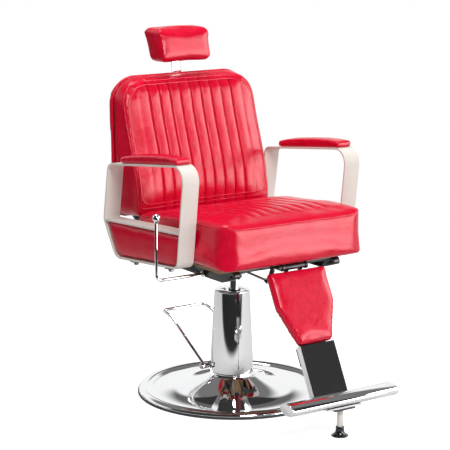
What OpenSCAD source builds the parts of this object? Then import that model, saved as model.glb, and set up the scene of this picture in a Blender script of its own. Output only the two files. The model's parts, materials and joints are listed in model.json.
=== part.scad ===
// Hydraulic barber chair: round pedestal with a foot pumped lift, swivelling seat, flat band arms,
// a backrest that reclines together with the legrest, a sliding and tilting headrest.
// Origin: centre of the base on the floor. +Z up, the chair faces -Y. Millimetres.

/* [Base] */
// Outer diameter of the base over its rubber trim
base_d = 620; // [520:1:700]
// Height of the rolled rim's crest above the floor
rim_h = 21; // [18:1:30]
// Width of the rolled rim
rim_w = 44; // [30:1:60]
// Height of the dish's neck, where the pump collar seats
neck_h = 60; // [50:1:75]
// Diameter of the dish's neck
neck_d = 148; // [140:1:170]
// Sheet thickness of the dish
dish_t = 2.5; // [1.5:0.5:4]
// Height of the rubber trim under the rim
trim_h = 8; // [6:1:12]
// Width of the rubber trim
trim_w = 13; // [10:1:20]
// Thickness of the steel base plate
plate_t = 6; // [4:1:10]

/* [Pump] */
// Diameter of the pump cylinder
pump_d = 72; // [60:1:76]
// Outer diameter of the cover at its top
cover_top_d = 113; // [108:1:130]
// Outer diameter of the cover at its foot
cover_foot_d = 141; // [130:1:160]
// Height of the cover's top edge above the floor
cover_top_z = 333; // [300:1:380]
// Sheet thickness of the cover
cover_t = 2; // [1:0.5:3]
// How far the cover's centre lies behind the piston
cover_back = 13; // [8:1:16]
// Thickness of the lid on the cover
lid_t = 4; // [3:1:8]
// Diameter of the piston rod
piston_d = 28; // [24:1:36]
// Travel of the lift
lift = 150; // [80:1:180]

/* [Pedal] */
// Distance of the pedal shaft behind the piston
pedal_y = 48; // [46:1:52]
// Height of the pedal shaft
pedal_z = 86; // [84:1:92]
// Diameter of the pedal shaft
shaft_d = 14; // [10:1:16]
// Diameter of the pedal's round rod
pedal_rod_d = 10; // [8:1:14]
// Width of the pedal between the centres of its arms
pedal_w = 164; // [150:1:200]
// Distance of the knee in the pedal's arms behind the piston
knee_y = 246; // [200:1:280]
// Height of the knee
knee_z = 207; // [170:1:240]
// Distance of the foot bar behind the piston
toe_y = 297; // [285:1:320]
// Height of the foot bar of the pedal
toe_z = 217; // [180:1:250]

/* [Seat frame] */
// Width of the frame over its two rails
frame_w = 400; // [380:1:430]
// Height of the rails' lower edge above the floor
rail_z = 430; // [430:1:460]
// Height of a rail's section
rail_h = 44; // [40:1:60]
// Width of a rail's section
rail_w = 22; // [16:1:30]
// How far the rails reach in front of the piston
rail_front = 288; // [280:1:300]
// How far the rails reach behind the piston
rail_rear = 216; // [214:1:230]
// Thickness of the cross members
cross_t = 9; // [6:1:10]
// Outer diameter of the swivel hub
hub_d = 48; // [42:1:60]
// Thickness of the seat board
board_t = 12; // [9:1:12]

/* [Seat cushion] */
// Width of the seat cushion
seat_w = 543; // [500:1:545]
// How far the seat cushion reaches in front of the piston
seat_front = 338; // [330:1:345]
// How far the seat cushion reaches behind the piston
seat_rear = 152; // [130:1:155]
// Thickness of the seat cushion near its front edge
seat_front_h = 144; // [110:1:160]
// Thickness of the seat cushion at its rear edge
seat_rear_h = 98; // [80:1:98]
// Radius of the cushion's upright front corners
seat_r = 42; // [20:1:60]

/* [Arms] */
// Overall width over the two arms
arms_w = 668; // [660:1:700]
// Width of the flat band
band_w = 57.5; // [45:0.5:60]
// Thickness of the band
band_t = 6; // [4:0.5:8]
// Height of the band's top at its front corner
arm_front_z = 801; // [780:1:830]
// Height of the band's top at its rear corner
arm_rear_z = 746; // [730:1:790]
// Height of the crossbar's top at its front
shelf_front_z = 594; // [570:1:610]
// Height of the crossbar's top at its rear
shelf_rear_z = 564; // [540:1:580]
// Thickness of the upholstered side panel
panel_t = 48; // [30:1:50]
// How far an arm pad reaches in front of the piston
pad_front = 168; // [150:1:172]
// Length of an arm pad
pad_l = 318; // [280:1:340]
// Width of an arm pad
pad_w = 58; // [50:1:66]
// Thickness of an arm pad at its middle
pad_h = 26; // [18:1:32]

/* [Backrest] */
// Width of the backrest
back_w = 520; // [480:1:530]
// Height of the backrest's top edge above the floor
back_top_z = 1001; // [960:1:1010]
// Height of the backrest cushion's lower edge
back_low_z = 580; // [578:1:600]
// Radius of the backrest's top corners
back_r = 85; // [40:1:110]
// Thickness of the backrest board
back_board_t = 12; // [9:1:12]
// Thickness of the upholstered rear cover
back_cover_t = 21; // [18:1:26]
// Recline hinge, distance behind the piston
hinge_y = 200; // [196:1:204]
// Recline hinge, height above the floor
hinge_z = 505; // [500:1:508]
// Diameter of the recline cross shaft
back_shaft_d = 20; // [16:1:24]
// Length of the cranks of the recline link
crank_l = 40; // [36:1:42]
// Recline range, degrees
recline = 45; // [20:1:45]

/* [Headrest] */
// Width of the headrest at its top
head_w = 194; // [170:1:230]
// Width of the flat strip that carries the headrest
strip_w = 34; // [30:1:45]
// Thickness of the strip
strip_t = 5; // [4:1:6]
// Height of the headrest's tilt pin
head_pin_z = 1085; // [1080:1:1095]

/* [Legrest] */
// Legrest hinge, distance in front of the piston
leg_y = 315; // [313:1:317]
// Legrest hinge, height above the floor
leg_z = 474; // [472:1:475]
// Angle of the hanging legrest from upright
leg_tilt = 27; // [25:0.5:28]
// Width of the legrest pad at its top
leg_pad_w = 214; // [180:1:230]
// Width of the legrest pad at its foot
leg_pad_foot_w = 122; // [110:1:135]
// Length of the legrest pad
leg_pad_l = 231; // [200:1:234]
// Width of the chromed channel
channel_w = 128; // [118:1:140]
// Length of the foot bar
bar_l = 398; // [340:1:460]
// Depth of the foot bar's oval section, front to back
bar_w = 68; // [56:1:76]
// Height of the foot bar's section
bar_h = 38; // [30:1:46]
// Distance of the foot bar's centre in front of the piston
bar_y = 555; // [550:1:565]
// Height of the foot bar's flat underside
bar_z = 97; // [90:1:105]
// Diameter of the leg tube under the foot bar
leg_d = 17; // [14:1:20]
// Diameter of the bell foot
bell_d = 52; // [44:1:60]

/* [Recline lever] */
// Distance of the lever in front of the piston
lever_y = 125; // [115:1:135]
// Height of the lever's shaft
lever_z = 440; // [440:1:445]
// Distance of the upright part from the centre plane
lever_x = 374; // [360:1:385]
// Height of the ball's centre
ball_z = 633; // [600:1:660]
// Diameter of the ball
ball_d = 24; // [20:1:32]
// Diameter of the lever's rod
lever_d = 10; // [8:1:12]

/* [Hidden] */

$fn = 96;

run_gap = 0.05;   // radial clearance of a shaft in its bore
seat_gap = 0.3;   // clearance between pieces that don't touch
bolt_gap = 0.3;   // radial clearance of a bolt in its hole
eye_gap = 0.4;    // radial clearance of the link's open front eye

// Base
base_r = base_d / 2;
dish_r = base_r - 2;               // edge of the dish, just inside the trim's face
roll_c = dish_r - rim_w / 2;       // centre circle of the rolled rim
roll_h = rim_h - trim_h;
plate_z = 2;
plate_r = base_r - trim_w - seat_gap;
plate_top = plate_z + plate_t;
flange_r = 68;
flange_t = 10;
bolt_circle_r = 54;
base_bolt_d = 12;

// Pump
pump_top = cover_top_z - 8;
seal_r = piston_d / 2 + 5;
collar_h = cover_foot_z() - neck_h - 1;
plunger_y = pedal_y + 14;
plunger_r = 6;
plunger_top = pedal_z - 8;
block_top = neck_h - 8;

// Seat frame
rail_top = rail_z + rail_h;
rail_x = frame_w / 2;
rail_in = rail_x - rail_w;
cross_y = 75;
cross_w = 50;
cross_top = rail_z + 1 + cross_t;
swivel_t = 8;
hub_low = rail_z - 52;
seat_low = rail_top + board_t + seat_gap;
frame_bolt_d = 10;

// Arms
arm_x = arms_w / 2 - band_w / 2;
arm_front = 217;       // front face of the front leg at its top
arm_foot_front = 178;  // front face of the front leg at its foot
arm_foot_front_z = 478;
arm_foot_rear = 183;
arm_foot_rear_z = 447;
arm_rear_mid = 252;
arm_rear_top = 224;
arm_bolt_y = 100;

// Backrest
back_t = 3;                               // lean of the rear face, degrees
lug_x = 190;                              // middle of the frame's recline lugs
lug_t = 8;
bracket_t = 6;
crank_a = recline / 2;                    // the cranks swing evenly about straight down
crank_dy = crank_l * sin(crank_a);
crank_dz = crank_l * cos(crank_a);
crank_x = -80;
crank_t = 6;
link_d = 8;
link_x = crank_x - crank_t / 2 - 0.5 - link_d / 2;
crank_pin_d = 8;

// Headrest
head_pin_y = 346;
head_pin_d = 6;
strip_slot = 0.4;

// Legrest
leg_bore_d = 10;
strap_n = -16;        // rear face of the strap, measured towards the pad
strap_t = 6;
pad_n = strap_n + strap_t + seat_gap;
pad_front_n = 17;
pad_s = 12;
channel_n = pad_n;
channel_front_n = 12;
channel_t = 5;
channel_s = pad_s + leg_pad_l + 3;
lip_z = bar_z - channel_t;
foot_plate_t = 6;
foot_plate_z = lip_z - foot_plate_t;
tube_low = 18;

function cover_foot_z() = neck_h + 10;
function unit(v) = v / norm(v);
// Rear face of the backrest at height z
function back_rear(z) = 332 + (z - 600) * tan(back_t);
// Top face of the arm band at distance y
function band_top(y) = arm_rear_z
    + (arm_rear_top - y) / (arm_rear_top + arm_front) * (arm_front_z - arm_rear_z);
// Underside of the arm band's lower run at distance y
function band_low(y) = arm_foot_rear_z + (arm_foot_rear - y) / (arm_foot_rear + arm_foot_front)
    * (arm_foot_front_z - arm_foot_rear_z);
// Top face of the arm's crossbar at distance y
function shelf(y) = shelf_rear_z
    + (arm_rear_mid - y) / (arm_rear_mid + arm_front) * (shelf_front_z - shelf_rear_z);

// Arc that rounds the corner b between a and c of a path that turns left, moved outwards by off
function corner_arc(a, b, c, r, off, n) =
    let (d1 = unit(b - a), d2 = unit(c - b), turn = acos(d1 * d2),
         centre = b - d1 * r * tan(turn / 2) + [-d1[1], d1[0]] * r,
         start = atan2(-d1[0], d1[1]))
    [for (i = [0:n]) centre + (r + off) * [cos(start + turn * i / n), sin(start + turn * i / n)]];

// Closed outline with rounded corners; off moves it outwards
function outline(pts, radii, off = 0, n = 10) =
    let (m = len(pts))
    [for (i = [0:m - 1]) each corner_arc(pts[(i + m - 1) % m], pts[i], pts[(i + 1) % m], radii[i], off, n)];

// Extrudes a Y-Z outline along X, centred on x
module across(x, w) {
    translate([x - w / 2, 0, 0]) rotate([90, 0, 90]) linear_extrude(w) children();
}

// Extrudes an X-Z outline along Y, from y0 to y1
module through_y(y0, y1) {
    translate([0, y1, 0]) rotate([90, 0, 0]) linear_extrude(y1 - y0) children();
}

// Round bar from a to b
module bar(a, b, r) {
    d = b - a;
    len_d = norm(d);
    translate(a) rotate([0, acos(d[2] / len_d), atan2(d[1], d[0])]) cylinder(r = r, h = len_d);
}

// Round rod along a path, with smooth bends of one radius; the straights lap over the bends
module rod(path, r, bend) {
    lap = 1;
    last = len(path) - 1;
    turns = [for (i = [1:last - 1])
        acos(unit(path[i] - path[i - 1]) * unit(path[i + 1] - path[i]))];
    cuts = [0, for (t = turns) bend * tan(t / 2), 0];
    union() {
        for (i = [0:last - 1]) {
            d = unit(path[i + 1] - path[i]);
            bar(path[i] + d * max(cuts[i] - lap, 0), path[i + 1] - d * max(cuts[i + 1] - lap, 0), r);
        }
        for (i = [1:last - 1]) {
            d1 = unit(path[i] - path[i - 1]);
            d2 = unit(path[i + 1] - path[i]);
            inward = unit(d2 - d1 * (d1 * d2));
            centre = path[i] - d1 * cuts[i] + inward * bend;
            up = cross(-inward, d1);
            multmatrix([[-inward[0], d1[0], up[0], centre[0]],
                        [-inward[1], d1[1], up[1], centre[1]],
                        [-inward[2], d1[2], up[2], centre[2]]])
                rotate_extrude(angle = turns[i - 1]) translate([bend, 0]) circle(r = r - lap / 16);
        }
    }
}

// Hexagon-headed bolt along Z: head above z, shank below
module hex_bolt(d, z, shank, head) {
    translate([0, 0, z]) cylinder(d = 1.8 * d, h = head, $fn = 6);
    translate([0, 0, z - shank]) cylinder(d = d, h = shank + head / 2);
}

// Axis along X through (y, z), centred on x
module pin_x(x, y, z, d, w) {
    translate([x - w / 2, y, z]) rotate([0, 90, 0]) cylinder(d = d, h = w);
}

// Places children at the legrest hinge: -Z runs down the legrest, -Y out of its front
module on_legrest() {
    translate([0, -leg_y, leg_z]) rotate([-leg_tilt, 0, 0]) children();
}

// ---------------------------------------------------------------- base

module base_trim() {
    color("#2b2b2d")
    rotate_extrude($fn = 180)
        polygon([[base_r - trim_w, 0], [base_r - 2, 0], [base_r, 2], [base_r, trim_h - 1],
                 [base_r - 1, trim_h], [base_r - trim_w, trim_h]]);
}

module base_plate() {
    color("#555555")
    difference() {
        translate([0, 0, plate_z]) cylinder(r = plate_r, h = plate_t);
        for (a = [45:90:315])
            rotate(a) translate([bolt_circle_r, 0, 0])
                cylinder(d = base_bolt_d + 2 * bolt_gap, h = 3 * plate_top);
    }
}

// Height of the dish's upper surface at radius r, inside the rolled rim
function dish_edge_r() = roll_c - rim_w / 2 * 0.9;
function dish_edge_z() = trim_h + roll_h * sqrt(1 - 0.81);
function dish_z(r) = dish_edge_z() + (neck_h - dish_edge_z())
    * pow((dish_edge_r() - r) / (dish_edge_r() - neck_d / 2), 2.2);

module base_dish() {
    rings = 18;
    top = [
        for (i = [0:10]) let (a = 0 + i * (180 - acos(0.9)) / 10)
            [roll_c + rim_w / 2 * cos(a), trim_h + roll_h * sin(a)],
        for (i = [1:rings]) let (r = dish_edge_r() + (neck_d / 2 - dish_edge_r()) * i / rings)
            [r, dish_z(r)],
        [50, neck_h]];
    under = [
        [50, neck_h - dish_t],
        for (i = [rings:-1:1]) let (r = dish_edge_r() + (neck_d / 2 - dish_edge_r()) * i / rings)
            [r - (i == rings ? dish_t / 2 : 0), dish_z(r) - dish_t],
        for (i = [10:-1:0]) let (a = i * (180 - acos(0.9)) / 10)
            [roll_c + (rim_w / 2 - dish_t) * cos(a), trim_h + (roll_h - dish_t) * sin(a)]];
    color("#d9dde0")
    difference() {
        rotate_extrude($fn = 180) polygon(concat(top, under));
        // the neck opens towards the pedal shaft
        translate([0, cover_back, neck_h - 2 * dish_t]) cylinder(r = 58, h = 4 * dish_t);
    }
}

module pump_body() {
    color("#3a3c3e")
    difference() {
        union() {
            translate([0, 0, plate_top]) cylinder(r = flange_r, h = flange_t);
            translate([0, 0, plate_top]) cylinder(d = pump_d, h = pump_top - plate_top);
            // block that guides the plunger
            translate([-13, 0, plate_top]) cube([26, plunger_y + 12, block_top - plate_top]);
        }
        translate([0, 0, plate_top + 22]) cylinder(d = piston_d + 2 * run_gap, h = pump_top);
        translate([0, plunger_y, plate_top + 16]) cylinder(r = plunger_r + run_gap, h = 100);
        for (s = [-1, 1])
            translate([s * 22, 22, pump_top - 10]) cylinder(d = 4 + 2 * bolt_gap, h = 20);
        for (a = [45:90:315])
            rotate(a) translate([bolt_circle_r, 0, 0]) cylinder(d = base_bolt_d + 2 * bolt_gap, h = 60);
    }
}

module pump_seal() {
    color("#1c1c1e")
    translate([0, 0, pump_top])
        difference() {
            cylinder(r = seal_r, h = cover_top_z + lid_t + 2 - pump_top);
            translate([0, 0, -1]) cylinder(d = piston_d + 2 * run_gap, h = 100);
        }
}

module neck_collar() {
    color("#c9cdd0")
    translate([0, cover_back, neck_h])
        difference() {
            cylinder(d = cover_foot_d - 1, h = collar_h);
            translate([0, 0, -1]) cylinder(d = cover_foot_d - 14, h = collar_h + 2);
            // gap for the pedal shaft's hubs
            translate([-cover_foot_d, pedal_y - cover_back - 11, collar_h - 6])
                cube([2 * cover_foot_d, 22, 10]);
        }
}

module pump_cover() {
    h = cover_top_z - cover_foot_z();
    notch_w = 24;
    notch_top = pedal_z + 16;
    color("#e3e6e8")
    translate([0, cover_back, cover_foot_z()])
        difference() {
            cylinder(d1 = cover_foot_d, d2 = cover_top_d, h = h);
            translate([0, 0, -0.01])
                cylinder(d1 = cover_foot_d - 2 * cover_t, d2 = cover_top_d - 2 * cover_t, h = h + 0.02);
            translate([-cover_foot_d, pedal_y - cover_back - notch_w / 2, -1])
                cube([2 * cover_foot_d, notch_w, notch_top - cover_foot_z() + 1]);
        }
}

module cover_lid() {
    color("#dfe2e4")
    difference() {
        union() {
            translate([0, cover_back, cover_top_z]) cylinder(d = cover_top_d + 2, h = lid_t - 1);
            translate([0, cover_back, cover_top_z]) cylinder(d = cover_top_d, h = lid_t);
            // spigot that centres the lid in the cover
            translate([0, cover_back, cover_top_z - 4])
                cylinder(d = cover_top_d - 2 * cover_t - 1.6, h = 4.5);
        }
        translate([0, 0, cover_top_z - 10]) cylinder(r = seal_r + seat_gap, h = 30);
        translate([0, 0, cover_top_z - 10]) cylinder(d = pump_d + 2, h = 10);
        for (s = [-1, 1])
            translate([s * 22, 22, cover_top_z - 10]) cylinder(d = 4.4, h = 30);
    }
}

module lid_screws() {
    color("#9a9da0")
    for (s = [-1, 1])
        translate([s * 22, 22, cover_top_z + lid_t]) {
            cylinder(d = 8, h = 2);
            translate([0, 0, pump_top - 8 - cover_top_z - lid_t])
                cylinder(d = 4, h = cover_top_z + lid_t + 8.5 - pump_top);
        }
}

module base_bolts() {
    color("#8f9396")
    for (a = [45:90:315])
        rotate(a) translate([bolt_circle_r, 0, 0]) hex_bolt(base_bolt_d, plate_top + flange_t, 14, 8);
}

// ---------------------------------------------------------------- pedal

module pedal_shaft() {
    color("#c4c8cb")
    pin_x(0, pedal_y, pedal_z, shaft_d, pedal_w + 34);
}

module pedal_bar() {
    x = pedal_w / 2;
    color("#cfd3d6")
    difference() {
        rod([[-x, pedal_y, pedal_z], [-x, knee_y, knee_z], [-x, toe_y, toe_z],
             [x, toe_y, toe_z], [x, knee_y, knee_z], [x, pedal_y, pedal_z]], pedal_rod_d / 2, 14);
        pin_x(0, pedal_y, pedal_z, 20, 2 * pedal_w);
    }
}

module pedal_hubs() {
    color("#d5d8da")
    for (s = [-1, 1])
        difference() {
            pin_x(s * (pedal_w / 2 + 2), pedal_y, pedal_z, 20, 26);
            pin_x(s * (pedal_w / 2 + 2), pedal_y, pedal_z, shaft_d, 40);
        }
}

module pump_cam() {
    color("#6c7073")
    difference() {
        union() {
            pin_x(0, pedal_y, pedal_z, 22, 20);
            across(0, 16) polygon([[pedal_y, pedal_z - 7.7], [plunger_y, pedal_z - 7.7],
                [plunger_y + 5, pedal_z - 3], [plunger_y + 4, pedal_z + 4], [pedal_y, pedal_z + 9]]);
        }
        pin_x(0, pedal_y, pedal_z, shaft_d, 40);
    }
}

module pump_plunger() {
    color("#b9bdc0")
    translate([0, plunger_y, plate_top + 26]) cylinder(r = plunger_r, h = plunger_top - plate_top - 26);
}

module piston_rod() {
    color("#e6e8ea")
    translate([0, 0, plate_top + 30]) cylinder(d = piston_d, h = cross_top - 2 - plate_top - 30);
}

// ---------------------------------------------------------------- seat frame

module swivel_hub() {
    color("#1f2022")
    difference() {
        union() {
            translate([0, 0, hub_low]) cylinder(d = hub_d, h = cross_top - hub_low);
            translate([0, 0, cross_top - cross_t]) cylinder(r = cross_y - cross_w / 2 - 2, h = cross_t);
        }
        translate([0, 0, hub_low - 1]) cylinder(d = piston_d + 2 * run_gap, h = 200);
    }
}

module swivel_plate() {
    color("#222326")
    difference() {
        translate([-60, -100, cross_top]) cube([120, 200, swivel_t]);
        for (sx = [-1, 1], sy = [-1, 1])
            translate([sx * 42, sy * cross_y, 0])
                cylinder(d = frame_bolt_d + 2 * bolt_gap, h = 2 * cross_top);
    }
}

module frame_rails() {
    color("#1b1c1e")
    for (s = [-1, 1])
        difference() {
            across(s * (rail_x - rail_w / 2), rail_w)
                polygon(concat(
                    [[rail_rear, rail_top], [-rail_front + 12, rail_top]],
                    [for (a = [110:10:220]) [-rail_front + 14, rail_top - 14] + 14 * [cos(a), sin(a)]],
                    [[-220, rail_z], [rail_rear, rail_z]]));
            // the section is open inwards
            across(s * (rail_in + 8), 20)
                polygon([[rail_rear + 1, rail_top - 4], [-rail_front + 34, rail_top - 4],
                         [-222, rail_z + 4], [rail_rear + 1, rail_z + 4]]);
            pin_x(s * rail_x, -rail_front + 15, rail_top - 15, 9, 3 * rail_w);
            if (s < 0) pin_x(-rail_x, -lever_y, lever_z, lever_d + 2 * run_gap, 3 * rail_w);
        }
}

module cross_members() {
    color("#202124")
    difference() {
        for (sy = [-1, 1])
            translate([-rail_x + 4, sy * cross_y - cross_w / 2, cross_top - cross_t])
                cube([frame_w - 8, cross_w, cross_t]);
        for (s = [-1, 1])
            translate([s > 0 ? rail_in : -rail_x, -150, rail_z - 1]) cube([rail_w, 300, 5.01]);
        for (sx = [-1, 1], sy = [-1, 1])
            translate([sx * 42, sy * cross_y, 0])
                cylinder(d = frame_bolt_d + 2 * bolt_gap, h = 2 * cross_top);
    }
}

module frame_bolts() {
    color("#8d9194")
    for (sx = [-1, 1], sy = [-1, 1])
        translate([sx * 42, sy * cross_y, 0])
            hex_bolt(frame_bolt_d, cross_top + swivel_t, swivel_t + cross_t + 6, 6);
}

module seat_board() {
    color("#b58a5a")
    translate([-seat_w / 2 + 24, -280, rail_top]) cube([seat_w - 48, 280 + seat_rear - 12, board_t]);
}

module seat_cushion() {
    w = seat_w / 2;
    color("#d4002f")
    intersection() {
        across(0, seat_w)
            polygon([[-seat_front, seat_low], [seat_rear, seat_low], [seat_rear, seat_low + seat_rear_h],
                     [17, seat_low + seat_front_h - 20], [-190, seat_low + seat_front_h],
                     [-seat_front + 20, seat_low + seat_front_h - 2],
                     [-seat_front, seat_low + seat_front_h - 14]]);
        linear_extrude(1000)
            polygon(outline([[-w, -seat_front], [w, -seat_front], [w, seat_rear], [-w, seat_rear]],
                            [seat_r, seat_r, 15, 15]));
    }
}

// ---------------------------------------------------------------- arms

arm_path = [[-arm_front, arm_front_z], [-arm_foot_front, arm_foot_front_z], [arm_foot_rear, arm_foot_rear_z],
            [arm_rear_mid, shelf_rear_z + 1], [arm_rear_top, arm_rear_z]];
arm_radii = [48, 30, 55, 24, 30];

module arm_bracket_pad(y, grow) {
    polygon([[y - 18, band_low(y - 18) - grow], [y - 18, band_low(y - 18) - 8],
             [y + 18, band_low(y + 18) - 8], [y + 18, band_low(y + 18) - grow]]);
}

module arm_brackets() {
    color("#1d1e20")
    difference() {
        for (s = [-1, 1], y = [-arm_bolt_y, arm_bolt_y])
            translate([s * (rail_x + arm_x + 12) / 2, 0, 0])
                across(0, arm_x + 12 - rail_x) arm_bracket_pad(y, 0);
        arm_bolt_holes();
    }
}

module arm_bolt_holes() {
    for (s = [-1, 1], y = [-arm_bolt_y, arm_bolt_y])
        translate([s * arm_x, y, band_low(y) - 20]) cylinder(d = 10 + 2 * bolt_gap, h = 34);
}

module arm_bolts() {
    color("#86898c")
    for (s = [-1, 1], y = [-arm_bolt_y, arm_bolt_y])
        translate([s * arm_x, y, 0]) mirror([0, 0, 1]) hex_bolt(10, -band_low(y) + 9.6, 17, 6);
}

module arm(s) {
    color("#d8cbc1")
    difference() {
        across(s * arm_x, band_w) {
            difference() {
                polygon(outline(arm_path, arm_radii));
                polygon(outline(arm_path, arm_radii, -band_t));
            }
            intersection() {
                polygon(outline(arm_path, arm_radii, -band_t / 2));
                polygon([[-300, shelf(-300)], [-300, shelf(-300) - band_t],
                         [300, shelf(300) - band_t], [300, shelf(300)]]);
            }
        }
        arm_bolt_holes();
    }
}

module side_panel(s) {
    color("#c3082b")
    difference() {
        across(s * arm_x, panel_t)
            intersection() {
                polygon(outline(arm_path, arm_radii, -band_t - seat_gap));
                polygon([[-300, 300], [300, 300], [300, shelf(300) - band_t - seat_gap],
                         [-300, shelf(-300) - band_t - seat_gap]]);
            }
        for (y = [-arm_bolt_y, arm_bolt_y])
            translate([s * arm_x, y, band_low(y) - 10]) cylinder(d = 11, h = 30);
    }
}

module arm_pad(s) {
    y0 = -pad_front;
    ends = pad_h - 7;
    color("#c9082c")
    across(s * arm_x, pad_w)
        polygon(concat(
            [[y0, band_top(y0) + seat_gap], [y0 + pad_l, band_top(y0 + pad_l) + seat_gap]],
            [for (i = [10:-1:0]) let (y = y0 + pad_l * i / 10)
                [y, band_top(y) + ends + 7 * sqrt(sin(180 * i / 10))]]));
}

// ---------------------------------------------------------------- recline hinge and link

module lug_plate(s) {
    across(s * lug_x, lug_t)
        union() {
            translate([hinge_y, hinge_z]) circle(r = 16);
            polygon([[hinge_y - 16, hinge_z], [hinge_y - 22, rail_top], [rail_rear, rail_top],
                     [hinge_y + 16, hinge_z]]);
        }
}

module back_lugs() {
    color("#1b1c1e")
    difference() {
        for (s = [-1, 1]) lug_plate(s);
        pin_x(0, hinge_y, hinge_z, back_shaft_d + 2 * run_gap, frame_w + 50);
    }
}

module back_shaft() {
    color("#303234")
    pin_x(0, hinge_y, hinge_z, back_shaft_d, 2 * (lug_x + lug_t / 2 + bracket_t + 2));
}

module back_crank() {
    end_y = hinge_y + crank_dy;
    end_z = hinge_z - crank_dz;
    color("#34363a")
    difference() {
        union() {
            across(crank_x, crank_t)
                union() {
                    translate([hinge_y, hinge_z]) circle(r = 16);
                    translate([end_y, end_z]) circle(r = 8);
                    polygon([[hinge_y - 13, hinge_z - 6], [end_y - 7, end_z - 2],
                             [end_y + 7.6, end_z + 2], [hinge_y + 15, hinge_z - 4]]);
                }
            pin_x(crank_x - 7, end_y, end_z, crank_pin_d, 20);
        }
        pin_x(0, hinge_y, hinge_z, back_shaft_d, frame_w);
    }
}

module recline_link() {
    y0 = -leg_y + crank_dy;
    z0 = leg_z - crank_dz;
    y1 = hinge_y + crank_dy;
    z1 = hinge_z - crank_dz;
    color("#b4b8bb")
    difference() {
        union() {
            bar([link_x, y0, z0], [link_x, y1, z1], link_d / 2);
            pin_x(link_x, y0, z0, 18, link_d);
            pin_x(link_x, y1, z1, 18, link_d);
        }
        pin_x(link_x, y0, z0, crank_pin_d + 2 * eye_gap, 3 * link_d);
        pin_x(link_x, y1, z1, crank_pin_d + 2 * run_gap, 3 * link_d);
    }
}

module lock_housing() {
    mid_z = leg_z - crank_dz + (leg_y - crank_dy - lever_y) / (leg_y + hinge_y) * (hinge_z - leg_z);
    color("#5a5d60")
    difference() {
        translate([link_x - 14, -lever_y - 40, rail_z + 1]) cube([28, 63, rail_h - 1]);
        // slot that the link rod runs through
        translate([link_x - 5.5, -lever_y - 50, mid_z - 11.5]) cube([11, 100, 21]);
    }
}

// ---------------------------------------------------------------- legrest hinge on the frame

module legrest_bracket() {
    color("#17181a")
    difference() {
        union() {
            translate([-rail_in, -276, rail_top - 8]) cube([2 * rail_in, 42, 8]);
            for (s = [-1, 1])
                across(s * 44, 8)
                    union() {
                        translate([-leg_y, leg_z]) circle(r = 10.5);
                        polygon([[-leg_y, leg_z + 9], [-leg_y + 4, leg_z - 9.7], [-234, rail_top - 8],
                                 [-234, rail_top], [-leg_y + 34, rail_top]]);
                    }
        }
        pin_x(0, -leg_y, leg_z, leg_bore_d, 200);
    }
}

module legrest_pin() {
    color("#aeb2b5")
    pin_x(0, -leg_y, leg_z, leg_bore_d, 102);
}

// ---------------------------------------------------------------- recline lever

module recline_lever() {
    color("#d0d4d7")
    rod([[-150, -lever_y, lever_z], [-lever_x, -lever_y, lever_z],
         [-lever_x, -lever_y, ball_z - ball_d / 2 + 1]], lever_d / 2, 18);
}

module lever_knob() {
    color("#e8eaec")
    difference() {
        union() {
            translate([-lever_x, -lever_y, ball_z]) sphere(d = ball_d);
            translate([-lever_x, -lever_y, ball_z - ball_d / 2 - 4]) cylinder(d = lever_d + 4, h = 8);
        }
        translate([-lever_x, -lever_y, ball_z - 100]) cylinder(d = lever_d, h = 101 - ball_d / 2);
    }
}

module lever_collar() {
    color("#b6babd")
    difference() {
        pin_x(-rail_x - seat_gap - 5, -lever_y, lever_z, lever_d + 9, 10);
        pin_x(-rail_x, -lever_y, lever_z, lever_d, 60);
    }
}

module lever_cam() {
    color("#6f7376")
    difference() {
        union() {
            pin_x(-156, -lever_y, lever_z, lever_d + 10, 10);
            across(-156, 8)
                polygon([[-lever_y - 8, lever_z + 3], [-lever_y - 5, lever_z + 24],
                         [-lever_y + 5, lever_z + 24], [-lever_y + 8, lever_z + 3]]);
        }
        pin_x(-156, -lever_y, lever_z, lever_d, 40);
    }
}

// ---------------------------------------------------------------- backrest

// Front face of the backrest, from its lower edge to its top
back_front = [[166, back_low_z], [168, 640], [177, 690], [190, 735], [207, 785], [227, 840], [243, 890],
              [258, 945], [270, back_top_z - 14], [284, back_top_z - 3], [300, back_top_z]];

function back_line(off, z) = [back_rear(z) - off, z];

module back_outline(low, top, inset, r) {
    w = back_w / 2 - inset;
    polygon(outline([[-w, low], [w, low], [w, top], [-w, top]], [24, 24, r, r]));
}

module back_cushion() {
    off = back_cover_t + back_board_t + 2 * seat_gap;
    color("#d4002f")
    intersection() {
        across(0, back_w)
            polygon(concat([back_line(off, back_top_z), back_line(off, back_low_z)], back_front));
        through_y(0, 500) back_outline(back_low_z, back_top_z, 0, back_r);
    }
}

module back_board() {
    off = back_cover_t + seat_gap;
    low = back_low_z - 28;
    top = back_top_z - 16;
    color("#b58a5a")
    intersection() {
        across(0, back_w)
            polygon([back_line(off, top), back_line(off + back_board_t, top),
                     back_line(off + back_board_t, low), back_line(off, low)]);
        through_y(0, 500) back_outline(low, top, 12, back_r - 12);
    }
}

module back_cover() {
    low = back_low_z - 13;
    top = back_top_z - 4;
    color("#c3082b")
    difference() {
        intersection() {
            across(0, back_w)
                polygon([back_line(0, top - 14), back_line(8, top), back_line(back_cover_t, top),
                         back_line(back_cover_t, low), back_line(6, low), back_line(0, low + 8)]);
            through_y(0, 500) back_outline(low, top, 2, back_r - 4);
        }
        // pocket for the headrest sleeve
        across(0, strip_w + 10)
            polygon([back_line(back_cover_t + 1, top + 1), back_line(back_cover_t + 1, back_top_z - 240),
                     back_line(back_cover_t - 14, back_top_z - 240), back_line(back_cover_t - 14, top + 1)]);
    }
}

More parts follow.
